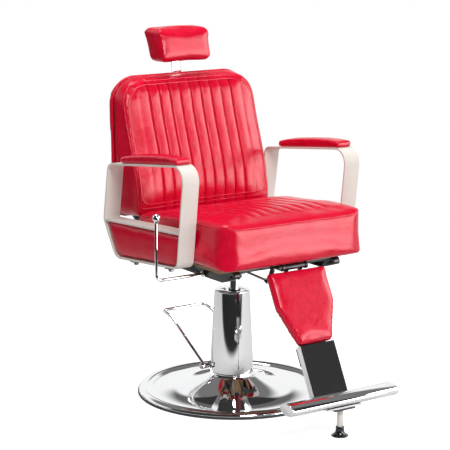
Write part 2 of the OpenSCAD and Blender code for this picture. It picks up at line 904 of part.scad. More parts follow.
module headrest_sleeve() {
    off = back_cover_t - seat_gap;
    low = back_top_z - 200;
    top = back_top_z - 4;
    wall = 3;
    color("#3b3d40")
    difference() {
        across(0, strip_w + 2 * strip_slot + 2 * wall)
            polygon([back_line(off, top), back_line(off, low),
                     back_line(off - strip_t - 2 * strip_slot - 2 * wall, low),
                     back_line(off - strip_t - 2 * strip_slot - 2 * wall, top)]);
        across(0, strip_w + 2 * strip_slot)
            polygon([back_line(off - wall, top + 1), back_line(off - wall, low - 1),
                     back_line(off - wall - strip_t - 2 * strip_slot, low - 1),
                     back_line(off - wall - strip_t - 2 * strip_slot, top + 1)]);
    }
}

module back_brackets() {
    off = back_cover_t + back_board_t + seat_gap;
    top = 760;
    color("#1f2022")
    difference() {
        union() {
            for (s = [-1, 1])
                across(s * (lug_x + lug_t / 2 + seat_gap + bracket_t / 2), bracket_t)
                    union() {
                        translate([hinge_y, hinge_z]) circle(r = 17);
                        polygon([[hinge_y + 8, hinge_z + 15], [hinge_y - 2, hinge_z - 16.8],
                                 [back_line(off, 570)[0] - 4, 548], back_line(off, 560),
                                 back_line(off, back_low_z - 1),
                                 [back_line(off, 580)[0] - 30, back_low_z - 1]]);
                    }
        }
        pin_x(0, hinge_y, hinge_z, back_shaft_d, 2 * frame_w);
    }
}

// ---------------------------------------------------------------- headrest

head_line_y = back_rear(head_pin_z) - back_cover_t + seat_gap + 3 + strip_slot + strip_t / 2;

module headrest_strip() {
    off = back_cover_t - seat_gap - 3 - strip_slot;
    low = back_top_z - 190;
    color("#e0e3e5")
    difference() {
        union() {
            across(0, strip_w)
                polygon([back_line(off, head_pin_z), back_line(off, low),
                         back_line(off - strip_t, low), back_line(off - strip_t, head_pin_z)]);
            pin_x(0, head_line_y, head_pin_z, 14, strip_w);
        }
        pin_x(0, head_line_y, head_pin_z, head_pin_d + 2 * run_gap, 100);
    }
}

module headrest_pin() {
    color("#9da1a4")
    pin_x(0, head_line_y, head_pin_z, head_pin_d, strip_w + 14);
}

// Side outline of the headrest's board
head_board = [[359, 1060], [380, 1118], [370, 1120], [350, 1064]];
// Side outline of the headrest, clockwise from the lower front corner
head_side = [[271, 1056], [292, 1138], [304, 1149], [374, 1150], [389, 1136],
             [356, 1048], [346, 1041], [286, 1041]];

module headrest_board() {
    in_w = strip_w / 2 + 1;
    color("#6b4a32")
    difference() {
        union() {
            across(0, head_w - 30)
                polygon(head_board);
            for (s = [-1, 1])
                across(s * (in_w + 2.5), 5)
                    polygon([[head_line_y - 9, head_pin_z - 9], [head_line_y + 6, head_pin_z - 12],
                             [364, 1078], [374, 1108], [head_line_y - 4, head_pin_z + 10],
                             [head_line_y - 9, head_pin_z + 6]]);
        }
        pin_x(0, head_line_y, head_pin_z, head_pin_d, 100);
        // the board is notched around the strip
        translate([-in_w, 300, 1000]) cube([2 * in_w, 100, 104]);
    }
}

module headrest_cushion() {
    w = head_w / 2;
    slot_x = strip_w / 2 + 8;
    color("#d4002f")
    difference() {
        intersection() {
            across(0, head_w) polygon([for (i = [len(head_side) - 1:-1:0]) head_side[i]]);
            through_y(0, 500)
                polygon(outline([[-w + 7, 1041], [w - 7, 1041], [w, 1150], [-w, 1150]], [14, 14, 16, 16]));
        }
        // pocket that holds the board
        across(0, head_w - 30 + 2 * seat_gap)
            union() {
                polygon(outline(head_board, [0.2, 0.2, 0.2, 0.2], seat_gap, 2));
                polygon([[359, 1060 - seat_gap], [400, 1060 - seat_gap], [400, 1118 + seat_gap],
                         [380, 1118 + seat_gap]]);
            }
        // slot that the strip swings in
        across(0, 2 * slot_x)
            polygon([[head_line_y - 26, 1030], [420, 1030], [420, 1112], [head_line_y - 14, head_pin_z + 18],
                     [head_line_y - 14, head_pin_z - 10]]);
    }
}

// ---------------------------------------------------------------- legrest

module legrest_strap() {
    low = channel_s + 60;
    crank_a_local = crank_a + leg_tilt;
    color("#1a1b1d")
    difference() {
        union() {
            on_legrest() {
                // flat strap behind the pad
                translate([-50, -strap_n - strap_t, -low]) cube([100, strap_t, low - 14]);
                translate([1 - channel_w / 2, -strap_n - strap_t, -low])
                    cube([channel_w - 2, strap_t, low - channel_s - 4]);
                // arms from the barrel to the strap
                for (s = [-1, 1])
                    across(s * 26, 10)
                        polygon([[-6, 6], [6, 8], [-strap_n, -10], [-strap_n, -60],
                                 [-strap_n - strap_t, -60], [-strap_n - strap_t, 0.5 - pad_s],
                                 [6, 0.5 - pad_s], [-6, -6]]);
                pin_x(0, 0, 0, 17, 79);
            }
            // crank of the recline link
            across(crank_x, crank_t)
                union() {
                    translate([-leg_y, leg_z]) circle(r = 8);
                    translate([-leg_y + crank_dy, leg_z - crank_dz]) circle(r = 8);
                    polygon([[-leg_y - 7.6, leg_z - 3], [-leg_y + crank_dy - 7.6, leg_z - crank_dz - 2],
                             [-leg_y + crank_dy + 7.6, leg_z - crank_dz + 3], [-leg_y + 7.6, leg_z + 2]]);
                }
            pin_x(crank_x - 7, -leg_y + crank_dy, leg_z - crank_dz, crank_pin_d, 20);
            // bridge from the crank to the strap
            on_legrest() translate([crank_x, -strap_n - strap_t, -44]) cube([50, strap_t, 26]);
        }
        pin_x(0, -leg_y, leg_z, leg_bore_d + 2 * run_gap, 84);
    }
}

module legrest_pad() {
    a = leg_pad_w / 2;
    b = leg_pad_foot_w / 2;
    top = -pad_s;
    color("#d4002f")
    on_legrest() difference() {
        intersection() {
            through_y(-pad_front_n, -pad_n)
                polygon(outline([[-b, top - leg_pad_l], [b, top - leg_pad_l], [a, top - leg_pad_l * 0.47],
                                 [a, top], [-a, top], [-a, top - leg_pad_l * 0.47]],
                                [5, 5, 20, 10, 10, 20]));
            // side section, its top edge rounded off to swing under the seat
            across(0, leg_pad_w)
                polygon([[-pad_n, top], [-pad_n, top - leg_pad_l], [-pad_front_n + 7, top - leg_pad_l],
                         [-pad_front_n + 2, top - leg_pad_l + 2], [-pad_front_n, top - leg_pad_l + 7],
                         [-pad_front_n, top - 9], [-pad_front_n + 3, top - 3], [-pad_front_n + 9, top]]);
        }
        // notch for the crank of the recline link
        translate([crank_x - crank_t / 2 - seat_gap, 0, top - 16])
            cube([crank_t + 2 * seat_gap, 20, 20]);
    }
}

// Plate with two flanges that runs down the legrest and bends forward under the foot bar
module legrest_channel() {
    // distance down the legrest at which the web's front face meets the lip's top face
    meet_s = (leg_z - bar_z + channel_front_n * sin(leg_tilt)) / cos(leg_tilt);
    front = [-leg_y - meet_s * sin(leg_tilt) - channel_front_n * cos(leg_tilt), bar_z];
    dir = [sin(leg_tilt), cos(leg_tilt)];
    start = front + dir * (meet_s - channel_s);
    tip = [-bar_y - 22, bar_z];
    bend = 22;
    upper = corner_arc(tip, front, start, bend, 0, 8);
    under = corner_arc(tip, front, start, bend, channel_t, 8);
    color("#dcdfe1")
    difference() {
        union() {
            across(0, channel_w)
                polygon(concat([tip], upper, [start, start + channel_t * [dir[1], -dir[0]]],
                               [for (i = [len(under) - 1:-1:0]) under[i]], [tip - [0, channel_t]]));
            // side flanges
            on_legrest()
                for (s = [-1, 1])
                    translate([s * (channel_w / 2 - 1.5) - 1.5, -channel_front_n, -meet_s + 14])
                        cube([3, channel_front_n - channel_n, meet_s - 14 - channel_s]);
        }
        translate([0, -bar_y, 0]) cylinder(d = leg_d + 2 * bolt_gap, h = bar_z + 1);
    }
}

// Oval section with a flat underside, in Y-Z
function bar_section(grow, n = 40) = [for (i = [0:n - 1])
    let (a = 360 * i / n, y = (bar_w / 2 + grow) * cos(a), z = (bar_h / 2 + grow) * sin(a) + bar_h / 2)
    [y - bar_y, max(z, 1.6 - grow) + bar_z - 1.6]];

module foot_bar() {
    color("#e4e6e8")
    difference() {
        across(0, bar_l - 4) polygon(bar_section(0));
        across(0, bar_l) polygon(bar_section(-3));
        translate([0, -bar_y, 0]) cylinder(d = leg_d + 2 * bolt_gap, h = bar_z + 12);
    }
}

module bar_caps() {
    color("#c8cccf")
    for (s = [-1, 1])
        across(s * (bar_l / 2 - 1), 2) polygon(bar_section(-0.4));
}

module foot_plate() {
    color("#1a1b1d")
    difference() {
        translate([-38, -bar_y - 24, foot_plate_z]) cube([76, 48, foot_plate_t]);
        translate([0, -bar_y, 0]) cylinder(d = leg_d + 2 * bolt_gap, h = bar_z + 1);
    }
}

module leg_tube() {
    color("#e9e4dc")
    translate([0, -bar_y, tube_low]) cylinder(d = leg_d, h = bar_z + 10 - tube_low);
}

module bell_foot() {
    r = bell_d / 2;
    color("#141416")
    translate([0, -bar_y, 0])
        rotate_extrude()
            polygon(concat(
                [[0, 0], [r - 1.5, 0], [r, 1.5], [r, 3.5]],
                [for (i = [1:6]) let (a = 90 * i / 6)
                    [r - (r - leg_d / 2 - 4) * sin(a), 20 - 16.5 * cos(a)]],
                [[leg_d / 2 + 4, 30], [leg_d / 2 + 0.08, 30], [leg_d / 2 + 0.08, 5], [0, 5]]));
}

// ---------------------------------------------------------------- nodes

base_trim();
base_plate();
base_dish();
pump_body();
pump_seal();
neck_collar();
pump_cover();
cover_lid();
lid_screws();
base_bolts();
pedal_shaft();
pedal_bar();
pedal_hubs();
pump_cam();
pump_plunger();
piston_rod();
swivel_hub();
swivel_plate();
frame_rails();
cross_members();
frame_bolts();
seat_board();
seat_cushion();
arm_brackets();
arm(1);  // arm_left
arm(-1);  // arm_right
side_panel(1);  // side_panel_left
side_panel(-1);  // side_panel_right
arm_pad(1);  // arm_pad_left
arm_pad(-1);  // arm_pad_right
arm_bolts();
back_lugs();
legrest_bracket();
legrest_pin();
lock_housing();
recline_lever();
lever_knob();
lever_collar();
lever_cam();
back_shaft();
back_brackets();
back_crank();
back_board();
back_cushion();
back_cover();
headrest_sleeve();
recline_link();
headrest_strip();
headrest_pin();
headrest_board();
headrest_cushion();
legrest_strap();
legrest_pad();
legrest_channel();
foot_bar();
bar_caps();
foot_plate();
leg_tube();
bell_foot();
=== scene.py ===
import bpy
import bmesh
import json
import math
import numpy as np
from mathutils import Matrix, Vector
from mathutils.bvhtree import BVHTree


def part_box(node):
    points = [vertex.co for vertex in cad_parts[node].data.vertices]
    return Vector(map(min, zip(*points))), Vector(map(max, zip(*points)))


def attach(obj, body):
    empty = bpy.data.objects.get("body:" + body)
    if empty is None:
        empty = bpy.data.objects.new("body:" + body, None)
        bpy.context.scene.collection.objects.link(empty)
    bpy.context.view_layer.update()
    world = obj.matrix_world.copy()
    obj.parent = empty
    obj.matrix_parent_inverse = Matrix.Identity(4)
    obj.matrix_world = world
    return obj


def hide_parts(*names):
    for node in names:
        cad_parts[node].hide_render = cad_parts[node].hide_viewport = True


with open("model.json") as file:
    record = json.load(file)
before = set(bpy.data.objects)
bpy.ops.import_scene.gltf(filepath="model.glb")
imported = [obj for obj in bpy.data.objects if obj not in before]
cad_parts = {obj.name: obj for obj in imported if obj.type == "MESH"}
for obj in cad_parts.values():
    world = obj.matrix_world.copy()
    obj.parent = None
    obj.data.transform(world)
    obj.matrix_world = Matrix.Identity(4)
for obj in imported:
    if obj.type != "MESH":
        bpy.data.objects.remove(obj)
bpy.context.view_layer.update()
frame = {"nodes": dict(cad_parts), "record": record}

# ---------------------------------------------------------------- rim trim
# A rubber ring pressed over the base's rim, so that the plate doesn't mark the floor.
# Matt black rubber with a fine tooth, taken as drawn with its edges just broken.
bodies = frame["record"]["behaviour"]["bodies"]
slots = {p["node"]: p["material_slot"] for p in frame["record"]["subparts"]}
finish_of = {}


class Sock:
    """A shader socket that is added, multiplied and compared like a number."""
    def __init__(self, tree, out):
        self.tree, self.out = tree, out

    def math(self, op, *others):
        return Nodes(self.tree).node("ShaderNodeMath", 0, dict(enumerate((self,) + others)), operation=op)

    def __add__(self, o): return self.math("ADD", o)
    def __radd__(self, o): return self.math("ADD", o)
    def __sub__(self, o): return self.math("SUBTRACT", o)
    def __rsub__(self, o): return (self * -1.0) + o
    def __mul__(self, o): return self.math("MULTIPLY", o)
    def __rmul__(self, o): return self.math("MULTIPLY", o)

    def step(self, lo, hi):
        """0 below lo, 1 above hi, with a smooth rise between them."""
        return Nodes(self.tree).node("ShaderNodeMapRange", "Result", {"Value": self, "From Min": lo, "From Max": hi},
                                     interpolation_type="SMOOTHSTEP")

    def near(self, at, half):
        """1 around at, 0 further from it than half."""
        return 1.0 - (self - at).math("ABSOLUTE").step(half * 0.75, half)


class Nodes:
    """Adds nodes to one shader tree."""
    def __init__(self, tree):
        self.tree = tree

    def node(self, kind, out=0, sockets=None, **settings):
        n = self.tree.nodes.new(kind)
        for k, v in settings.items():
            setattr(n, k, v)
        for k, v in (sockets or {}).items():
            if isinstance(v, Sock):
                self.tree.links.new(v.out, n.inputs[k])
            else:
                n.inputs[k].default_value = v
        return Sock(self.tree, n.outputs[out])


class Paint(Nodes):
    """A finish: one material and the nodes that vary it."""
    def __init__(self, name, color, metallic=0.0, rough=0.4, coat=0.0, coat_rough=0.05, specular=0.5):
        self.mat = bpy.data.materials.new(name)
        self.mat.use_nodes = True
        self.tree = self.mat.node_tree
        self.bsdf = self.tree.nodes["Principled BSDF"]
        for socket, value in (("Base Color", (*color, 1.0)), ("Metallic", metallic), ("Roughness", rough),
                              ("Coat Weight", coat), ("Coat Roughness", coat_rough),
                              ("Specular IOR Level", specular)):
            self.bsdf.inputs[socket].default_value = value

    def place(self):
        return self.node("ShaderNodeTexCoord", "Object")

    def drive(self, name, sock):
        self.tree.links.new(sock.out, self.bsdf.inputs[name])

    def bump(self, height, depth, strength=1.0):
        self.drive("Normal", self.node("ShaderNodeBump", 0, {"Height": height, "Distance": depth,
                                                             "Strength": strength}))


def add(name, mesh, like, *stands_for):
    """Places a mesh as a piece that rides with the body of node like, in that node's slot."""
    o = bpy.data.objects.new(name, mesh)
    bpy.context.collection.objects.link(o)
    body = next(b for b, nodes in bodies.items() if like in nodes)
    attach(o, body)
    mesh.materials.clear()
    mesh.materials.append(finish_of[slots[like]].mat)
    if stands_for:
        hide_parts(*stands_for)
    return o


def joined(node):
    """A clean copy of a CAD node's mesh, its flat areas whole."""
    bm = bmesh.new()
    bm.from_mesh(frame["nodes"][node].data)
    bmesh.ops.remove_doubles(bm, verts=bm.verts, dist=2e-6)
    bmesh.ops.dissolve_limit(bm, angle_limit=0.003, verts=bm.verts, edges=bm.edges)
    me = bpy.data.meshes.new(node)
    me.from_pydata([v.co[:] for v in bm.verts], [], [[v.index for v in f.verts] for f in bm.faces])
    bm.free()
    return me


def settle(o):
    """Applies every modifier of an object to its mesh."""
    deps = bpy.context.evaluated_depsgraph_get()
    deps.update()
    me = bpy.data.meshes.new_from_object(o.evaluated_get(deps))
    o.modifiers.clear()
    o.data = me
    return me


def smooth(me, degrees=35):
    me.polygons.foreach_set("use_smooth", [True] * len(me.polygons))
    me.set_sharp_from_angle(angle=math.radians(degrees))


def hard(node, edge=0.0008, degrees=35):
    """A hard part: the CAD shape with its sharp edges broken by a small round."""
    me = joined(node)
    o = add(node + "_part", me, node, node)
    b = o.modifiers.new("edges", "BEVEL")
    b.width, b.segments, b.limit_method, b.angle_limit = edge, 2, "ANGLE", math.radians(28)
    b.use_clamp_overlap = True
    mat = o.data.materials[0]
    me = settle(o)
    me.materials.clear()
    me.materials.append(mat)
    smooth(me, degrees)
    return o


rubber = Paint("rubber", (0.045, 0.045, 0.05), rough=0.62)
fine = rubber.node("ShaderNodeTexNoise", "Fac", {"Vector": rubber.place(), "Scale": 600.0, "Detail": 3.0})
rubber.bump(fine, 0.0004, 0.4)
finish_of["rubber"] = rubber
TURNED_EDGE = 0.0007
hard("base_trim", TURNED_EDGE)

# ---------------------------------------------------------------- base plate
# A turned steel disc in the rubber ring. It is the ballast that keeps the chair upright.
steel = Paint("steel", (0.5, 0.51, 0.53), metallic=1.0, rough=0.32)
turned = steel.node("ShaderNodeTexNoise", "Fac", {"Vector": steel.place(), "Scale": 240.0, "Detail": 2.0})
steel.drive("Roughness", 0.24 + turned * 0.18)
finish_of["steel"] = steel
hard("base_plate", TURNED_EDGE)

# ---------------------------------------------------------------- pump cylinder and wiper seal
# A black-painted cylinder bolted through the plate, with a rubber seal that wipes the piston.
black = Paint("black_paint", (0.012, 0.012, 0.014), rough=0.34, coat=0.2, coat_rough=0.2)
orange_peel = black.node("ShaderNodeTexNoise", "Fac", {"Vector": black.place(), "Scale": 380.0})
black.bump(orange_peel, 0.0003, 0.3)
finish_of["black_paint"] = black
for n in ("pump_body", "pump_seal"):
    hard(n, TURNED_EDGE)

# ---------------------------------------------------------------- cover lid, screws and neck collar
# A chromed lid held by two steel screws closes the pump cover's top, and a chromed collar rings
# its foot over the bolts that hold the cylinder to the plate.
chrome = Paint("chrome", (0.93, 0.935, 0.945), metallic=1.0, rough=0.045)
smear = chrome.node("ShaderNodeTexNoise", "Fac", {"Vector": chrome.place(), "Scale": 9.0, "Detail": 3.0})
chrome.drive("Roughness", 0.03 + smear * 0.04)
finish_of["chrome"] = chrome
for n in ("lid_screws", "base_bolts", "cover_lid", "neck_collar"):
    hard(n, TURNED_EDGE)

# ---------------------------------------------------------------- base dish
# Pressed and chromed sheet over the ballast plate. Its wide curve is taken as drawn, smooth
# across the whole sweep, since it mirrors the room.
SMOOTH_SWEEP = 50
hard("base_dish", 0.0005, SMOOTH_SWEEP)

# ---------------------------------------------------------------- pump cover
# A chromed cone round the cylinder, notched at the foot for the pedal's shaft. The facets of
# the wall are lit as the true cone, so reflections run unbroken round it.
CONE_TAPER = 0.053
WALL = 0.97
shell = hard("pump_cover", 0.0002, SMOOTH_SWEEP).data
C_LO, C_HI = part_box("pump_cover")
mid = (C_LO + C_HI) / 2
normals = []
for f in shell.polygons:
    for i in f.vertices:
        p = shell.vertices[i].co - mid
        true = Vector((p.x, p.y, 0)).normalized() + Vector((0, 0, CONE_TAPER))
        true.normalize()
        if abs(f.normal.dot(true)) > WALL:
            normals.append(true if f.normal.dot(true) > 0 else -true)
        else:
            normals.append(f.normal.copy())
shell.normals_split_custom_set(normals)

# ---------------------------------------------------------------- foot pedal
# A chromed bent rod on a steel cross shaft, clamped by two hubs; inside the cover the shaft's
# cam works the pump's plunger.
ROD_EDGE = 0.0008
ROUND_ROD = 40
for n in ("pedal_shaft", "pedal_bar", "pump_cam", "pump_plunger"):
    hard(n, ROD_EDGE, ROUND_ROD)
hard("pedal_hubs", 0.0016)

# ---------------------------------------------------------------- piston and swivel
# A chromed piston rises out of the pump. The black hub turns on its top end, and the plate
# welded to the hub is bolted under the seat's frame.
PLATE_EDGE = 0.001
for n in ("piston_rod", "swivel_hub", "swivel_plate"):
    hard(n, PLATE_EDGE)

# ---------------------------------------------------------------- seat frame
# Two black-painted rails with drilled front ends, cross members between them and steel bolts.
for n in ("frame_rails", "cross_members", "frame_bolts"):
    hard(n, PLATE_EDGE)

# ---------------------------------------------------------------- seat board
# A plywood board screwed on the rails; the cushion's foam is glued on it.
wood = Paint("plywood", (0.36, 0.2, 0.1), rough=0.6)
rings = wood.node("ShaderNodeTexWave", "Fac", {"Vector": wood.place(), "Scale": 60.0, "Distortion": 5.0,
                                               "Detail": 3.0}, bands_direction="Z")
wood.drive("Base Color", wood.node("ShaderNodeMix", 2, {0: rings, 6: (0.26, 0.14, 0.07, 1.0),
                                                        7: (0.42, 0.25, 0.13, 1.0)}, data_type="RGBA"))
finish_of["plywood"] = wood
hard("seat_board", PLATE_EDGE)

# ---------------------------------------------------------------- brackets, lugs and recline lock
# Black steel folded and welded to the frame: brackets that take the arms' bolts, lugs for the
# back's shaft, the legrest's bracket with its pin, and the housing that locks the recline.
for n in ("arm_brackets", "arm_bolts", "back_lugs", "legrest_bracket", "legrest_pin", "lock_housing"):
    hard(n, PLATE_EDGE)

# ---------------------------------------------------------------- seat cushion
# Foam under crimson coated fabric, sewn into channels that run from the back to the front, with a
# piped seam below the top edge. The cover is blown up as cloth, then its seams are drawn in.
leather = Paint("leather", (0.62, 0.0, 0.026), rough=0.22, specular=0.4)
at = leather.place()
warp = leather.node("ShaderNodeTexNoise", "Fac", {"Vector": at, "Scale": 34.0, "Detail": 4.0})
cells = leather.node("ShaderNodeTexVoronoi", "Distance", {"Vector": at, "Scale": 190.0},
                     feature="DISTANCE_TO_EDGE")
slow = leather.node("ShaderNodeTexNoise", "Fac", {"Vector": at, "Scale": 11.0, "Detail": 5.0, "Roughness": 0.6})
grain = cells.step(0.0, 0.22) * 0.2 + warp * 1.2 + slow * 2.6
leather.bump(grain, 0.0012, 0.5)
leather.drive("Roughness", 0.14 + warp * 0.16)
leather.drive("Base Color", leather.node(
    "ShaderNodeMix", 2, {0: cells.step(0.0, 0.1) * 0.5 + warp * 0.5, 6: (0.4, 0.0, 0.012, 1.0),
                         7: (0.78, 0.0, 0.034, 1.0)}, data_type="RGBA"))
finish_of["leather"] = leather
CLOTH_FRAMES = 20
FABRIC_MASS = 0.3
STRETCH, SHEAR, BEND = 18, 6, 1.5


def vertices(me, what="co"):
    """A mesh's vertex places, or its normals, as rows."""
    v = np.empty(len(me.vertices) * 3)
    me.vertices.foreach_get(what, v)
    return v.reshape(-1, 3)


def blow_up(o, held, pressure, spare):
    """Runs the piece as cloth under air pressure, with the vertices in held kept still."""
    pin = o.vertex_groups.new(name="held")
    pin.add([int(i) for i in np.nonzero(held)[0]], 1.0, "REPLACE")
    cloth = o.modifiers.new("cloth", "CLOTH")
    st = cloth.settings
    st.quality, st.mass = 5, FABRIC_MASS
    st.tension_stiffness = st.compression_stiffness = STRETCH
    st.shear_stiffness, st.bending_stiffness = SHEAR, BEND
    st.use_pressure, st.uniform_pressure_force = True, pressure
    st.shrink_min = -spare
    st.vertex_group_mass = "held"
    st.effector_weights.gravity = 0.0
    cloth.point_cache.frame_start, cloth.point_cache.frame_end = 1, CLOTH_FRAMES
    for f in range(1, CLOTH_FRAMES + 1):
        bpy.context.scene.frame_set(f)
    me = settle(o)
    bpy.context.scene.frame_set(1)
    return me


def calmed(move, me, rounds=6):
    """The cloth's movement with its smallest lumps evened out between neighbours."""
    ends = np.empty(len(me.edges) * 2, int)
    me.edges.foreach_get("vertices", ends)
    a, b = ends[0::2], ends[1::2]
    shared = np.maximum(np.bincount(ends, minlength=len(move)), 1)[:, None]
    for _ in range(rounds):
        total = np.zeros_like(move)
        np.add.at(total, a, move[b])
        np.add.at(total, b, move[a])
        move = move * 0.4 + total / shared * 0.6
    return move


def soft(node, voxel, rounds, cap, fixed, shape=None, pressure=4.0, spare=0.003, keep=None,
         cuts=(), corner=0.0):
    """A stuffed piece: the CAD solid rounded off, blown up as cloth, then given its seams by shape().

    keep leaves a part of it unrounded, cuts are the seam lines' x, and corner rounds the front's
    upright corners in plan.
    """
    o = bpy.data.objects.new(node + "_cover", joined(node))
    bpy.context.collection.objects.link(o)
    grid = o.modifiers.new("grid", "REMESH")
    grid.mode, grid.voxel_size = "VOXEL", voxel
    me = settle(o)
    square = vertices(me)
    worn = o.modifiers.new("round", "SMOOTH")
    worn.factor, worn.iterations = 0.5, rounds
    me = settle(o)
    before = vertices(me)
    if keep:
        stay = keep(square)[:, None]
        before = before * (1 - stay) + square * stay
        me.vertices.foreach_set("co", before.ravel())
    if corner:
        lo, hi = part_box(node)
        v = np.c_[np.abs(before[:, 0]) - (hi[0] - corner), lo[1] + corner - before[:, 1]]
        size = np.maximum(np.linalg.norm(v, axis=1), corner)
        shift = v * (corner / size - 1)[:, None] * (v > 0).all(1)[:, None]
        before[:, 0] += shift[:, 0] * np.sign(before[:, 0])
        before[:, 1] -= shift[:, 1]
        me.vertices.foreach_set("co", before.ravel())
    me = blow_up(o, fixed(before), pressure, spare)
    move = vertices(me) - before
    size = np.linalg.norm(move, axis=1)[:, None]
    move *= np.minimum(1.0, cap / np.maximum(size, 1e-9))
    me.vertices.foreach_set("co", (before + calmed(move, me)).ravel())
    finer = o.modifiers.new("finer", "SUBSURF")
    finer.levels = finer.render_levels = 1
    me = settle(o)
    if len(cuts):
        bm = bmesh.new()
        bm.from_mesh(me)
        for x in cuts:
            strip = [f for f in bm.faces if abs(f.verts[0].co.x - x) < 0.012]
            parts = {e for f in strip for e in f.edges} | {v for f in strip for v in f.verts} | set(strip)
            bmesh.ops.bisect_plane(bm, geom=list(parts), dist=1e-5, plane_co=(x, 0, 0), plane_no=(1, 0, 0))
        bm.to_mesh(me)
        bm.free()
    if shape:
        co = vertices(me)
        me.vertices.foreach_set("co", (co + shape(co, vertices(me, "normal"))).ravel())
        me.update()
    bpy.data.objects.remove(o)
    smooth(me, 80)
    piece = add(node + "_cover", me, node, node)
    return piece


def ridge(v, lo, hi, soft_by):
    """1 between lo and hi, falling smoothly to 0 outside."""
    t = np.clip(np.minimum(v - lo, hi - v) / soft_by + 0.5, 0, 1)
    return t * t * (3 - 2 * t)


def tube(name, points, radius, like, cyclic=False, sides=12, on=None, sink=0.0):
    """A round cord laid along points, as one mesh; with on, it is drawn onto that piece's surface."""
    P = np.array(points, float)
    n = len(P)
    if on:
        tree = BVHTree.FromPolygons([v.co for v in on.data.vertices], [f.vertices for f in on.data.polygons])
        hits = [tree.find_nearest(Vector(q)) for q in P]
        P = np.array([h[0] - h[1] * sink for h in hits])
        for _ in range(6):
            P = (np.roll(P, 1, 0) + P * 2 + np.roll(P, -1, 0)) / 4 if cyclic else P
    fwd = np.roll(P, -1, 0) - np.roll(P, 1, 0) if cyclic else np.gradient(P, axis=0)
    fwd /= np.linalg.norm(fwd, axis=1)[:, None]
    side = np.zeros_like(P)
    last = np.cross(fwd[0], (0.13, 0.31, 0.94))
    for i in range(n):
        last = last - fwd[i] * (last @ fwd[i])
        last /= np.linalg.norm(last)
        side[i] = last
    up = np.cross(fwd, side)
    turn = np.linspace(0, 2 * math.pi, sides, endpoint=False)
    V = (P[:, None] + radius * (np.cos(turn)[None, :, None] * side[:, None]
                               + np.sin(turn)[None, :, None] * up[:, None])).reshape(-1, 3)
    F = []
    for i in range(n if cyclic else n - 1):
        here, there = i * sides, (i + 1) % n * sides
        for j in range(sides):
            k = (j + 1) % sides
            F.append((here + j, here + k, there + k, there + j))
    if not cyclic:
        F += [tuple(range(sides))[::-1], tuple(range((n - 1) * sides, n * sides))]
    me = bpy.data.meshes.new(name)
    me.from_pydata(V.tolist(), [], F)
    smooth(me, 60)
    return add(name, me, like)


def rounded(corners, r, step=0.006):
    """Points along a closed 2-D outline whose corners are rounded by r."""
    C = [np.array(c, float) for c in corners]
    out = []
    for i, b in enumerate(C):
        a, c = C[i - 1], C[(i + 1) % len(C)]
        u, v = (a - b) / np.linalg.norm(a - b), (c - b) / np.linalg.norm(c - b)
        ri = r[i] if hasattr(r, "__len__") else r
        half = math.acos(float(np.clip(u @ v, -1, 1))) / 2
        cut = ri / math.tan(half)
        p, q, m = b + u * cut, b + v * cut, b + (u + v) / np.linalg.norm(u + v) * ri / math.sin(half)
        for t in np.linspace(0, 1, 9):
            d = (p - m) * (1 - t) + (q - m) * t
            out.append(m + d / np.linalg.norm(d) * ri)
    fine = []
    for i, p in enumerate(out):
        q = out[(i + 1) % len(out)]
        k = max(1, int(np.linalg.norm(q - p) / step))
        fine += [p + (q - p) * j / k for j in range(k)]
    return np.array(fine)


S_LO, S_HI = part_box("seat_cushion")
CHANNEL_PITCH = 0.0397
CHANNELS_EACH_SIDE = 4
SEAM_DEPTH, SEAM_HALF = 0.005, 0.0027
SEAM_REACH = 0.168
CHANNEL_PUFF = 0.002
PANEL_HALF = 0.205
STITCH = [k * CHANNEL_PITCH + d for k in range(-CHANNELS_EACH_SIDE, CHANNELS_EACH_SIDE + 1)
          for d in (-0.005, -0.002, 0.0, 0.002, 0.005)]
PIPED_CORNER = 0.06
PIPING_DROP = 0.012
SLOPE_STARTS, SLOPE = -0.19, 0.09


def channels(x):
    """How far the sewn channels stand out of, or sink into, the cushion's face at x."""
    phase = np.abs((x / CHANNEL_PITCH + 0.5) % 1 - 0.5)
    groove = -SEAM_DEPTH * np.exp(-(phase * CHANNEL_PITCH / SEAM_HALF) ** 2)
    groove = groove * ridge(x, -SEAM_REACH, SEAM_REACH, 0.012)
    puff = CHANNEL_PUFF * (np.cos(math.pi * 2 * (phase - 0.5)) * 0.5 + 0.5) ** 0.5
    return groove + puff - 0.001


def seat_form(co, no):
    up = ridge(no[:, 2], 0.35, 2, 0.5)
    x, y = co[:, 0], co[:, 1]
    inside = ridge(x, -PANEL_HALF, PANEL_HALF, 0.02) * ridge(y, -0.262, 0.3, 0.03) * up
    out = np.zeros_like(co)
    out[:, 2] = inside * channels(x)
    # the seam just under the top edge pulls the cover in
    edge = np.where(y < SLOPE_STARTS, S_HI[2] - 0.010, S_HI[2] - 0.010 - (y - SLOPE_STARTS) * SLOPE)
    pull = np.exp(-((co[:, 2] - edge) / 0.006) ** 2) * (1 - up)
    out -= no * (0.003 * pull)[:, None]
    return out


seat = soft("seat_cushion", voxel=0.0085, rounds=8, cap=0.007,
            fixed=lambda p: (p[:, 2] < S_LO[2] + 0.012) | (p[:, 1] > S_HI[1] - 0.006), shape=seat_form,
            cuts=STITCH, corner=PIPED_CORNER,
            keep=lambda p: 0.8 * ridge(p[:, 1], S_HI[1] - 0.03, 9, 0.02))
W = S_HI[0] - 0.0015
front_y, rear_y = S_LO[1] + 0.003, S_HI[1] - 0.012
ring = rounded([(-W, front_y), (W, front_y), (W, rear_y), (-W, rear_y)],
               [PIPED_CORNER, PIPED_CORNER, 0.02, 0.02])
piped_z = S_HI[2] - PIPING_DROP - np.maximum(ring[:, 1] - SLOPE_STARTS, 0) * SLOPE
tube("seat_piping", np.c_[ring, piped_z], 0.0036, "seat_cushion", cyclic=True, on=seat, sink=0.001)

